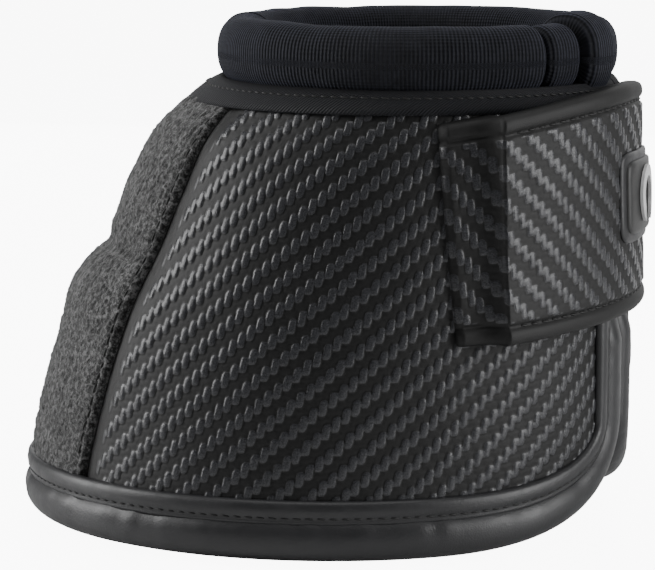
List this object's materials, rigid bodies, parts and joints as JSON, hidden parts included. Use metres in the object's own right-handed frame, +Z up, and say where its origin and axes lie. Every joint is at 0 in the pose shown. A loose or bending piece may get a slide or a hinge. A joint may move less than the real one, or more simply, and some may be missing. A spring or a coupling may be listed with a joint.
{
  "type": "over-reach boot",
  "caption": "Over-reach (bell) boot for a horse's hoof: flared padded shell with a rolled hem, soft padded collar, and a front flap held shut by a wide wrap strap.",
  "frame": {"origin": "bottom centre of the bounding box, on the surface the hem stands on", "axes": "+X to the front of the hoof (closure side), +Y to the inner side, +Z up"},
  "size_m": [0.1649, 0.1514, 0.1319],
  "materials": {
    "carbon_pu": "satin, embossed twill",
    "abrasion_fabric": "matt, nubby",
    "smooth_pu": "satin, fine grain",
    "knit": "matt",
    "binding_tape": "matt, ribbed",
    "foam": "matt",
    "lining_fabric": "matt",
    "hook_tape": "matt",
    "loop_tape": "matt, fuzzy",
    "thread": "satin",
    "badge_rubber": "satin",
    "badge_emblem": "satin"
  },
  "bodies": {
    "shell": {"anti_turn_pad": "lining_fabric", "closure_tongue": "lining_fabric", "inner_loop_tape": "loop_tape", "inner_seam_thread": "thread", "inner_side_panel": "carbon_pu", "main_collar_binding": "binding_tape", "main_collar_cover": "knit", "main_collar_end": "knit", "main_collar_foam": "foam", "main_collar_thread": "thread", "main_foam_core": "foam", "main_hem_band": "smooth_pu", "main_hem_roll": "smooth_pu", "main_hem_thread": "thread", "main_lining": "lining_fabric", "outer_seam_thread": "thread", "rear_strike_panel": "abrasion_fabric", "tongue_loop_tape": "loop_tape", "tongue_root_strip": "smooth_pu"},
    "flap": {"flap_collar_binding": "binding_tape", "flap_collar_cover": "knit", "flap_collar_end": "knit", "flap_collar_foam": "foam", "flap_collar_thread": "thread", "flap_foam_core": "foam", "flap_hem_band": "smooth_pu", "flap_hem_roll": "smooth_pu", "flap_hem_thread": "thread", "flap_hook_tape": "hook_tape", "flap_lining": "lining_fabric", "outer_side_panel": "carbon_pu", "strap_base": "carbon_pu"},
    "strap": {"strap_face": "carbon_pu", "strap_lining": "lining_fabric", "strap_edge_thread": "thread", "strap_hook_tape": "hook_tape", "badge_frame": "smooth_pu", "badge_plate": "badge_rubber", "badge_emblem": "badge_emblem"}
  },
  "joints": [
    {"name": "flap_open", "type": "hinge", "parent": "shell", "child": "flap", "pos_m": [-0.06501, -0.06231, 0], "axis": [-0.3368, -0.1575, -0.9283], "range_deg": [0, 50]},
    {"name": "strap_peel", "type": "hinge", "parent": "flap", "child": "strap", "pos_m": [0.05318, -0.06095, 0.045], "axis": [-0.0534, -0.1761, -0.9829], "range_deg": [0, 100]}
  ]
}
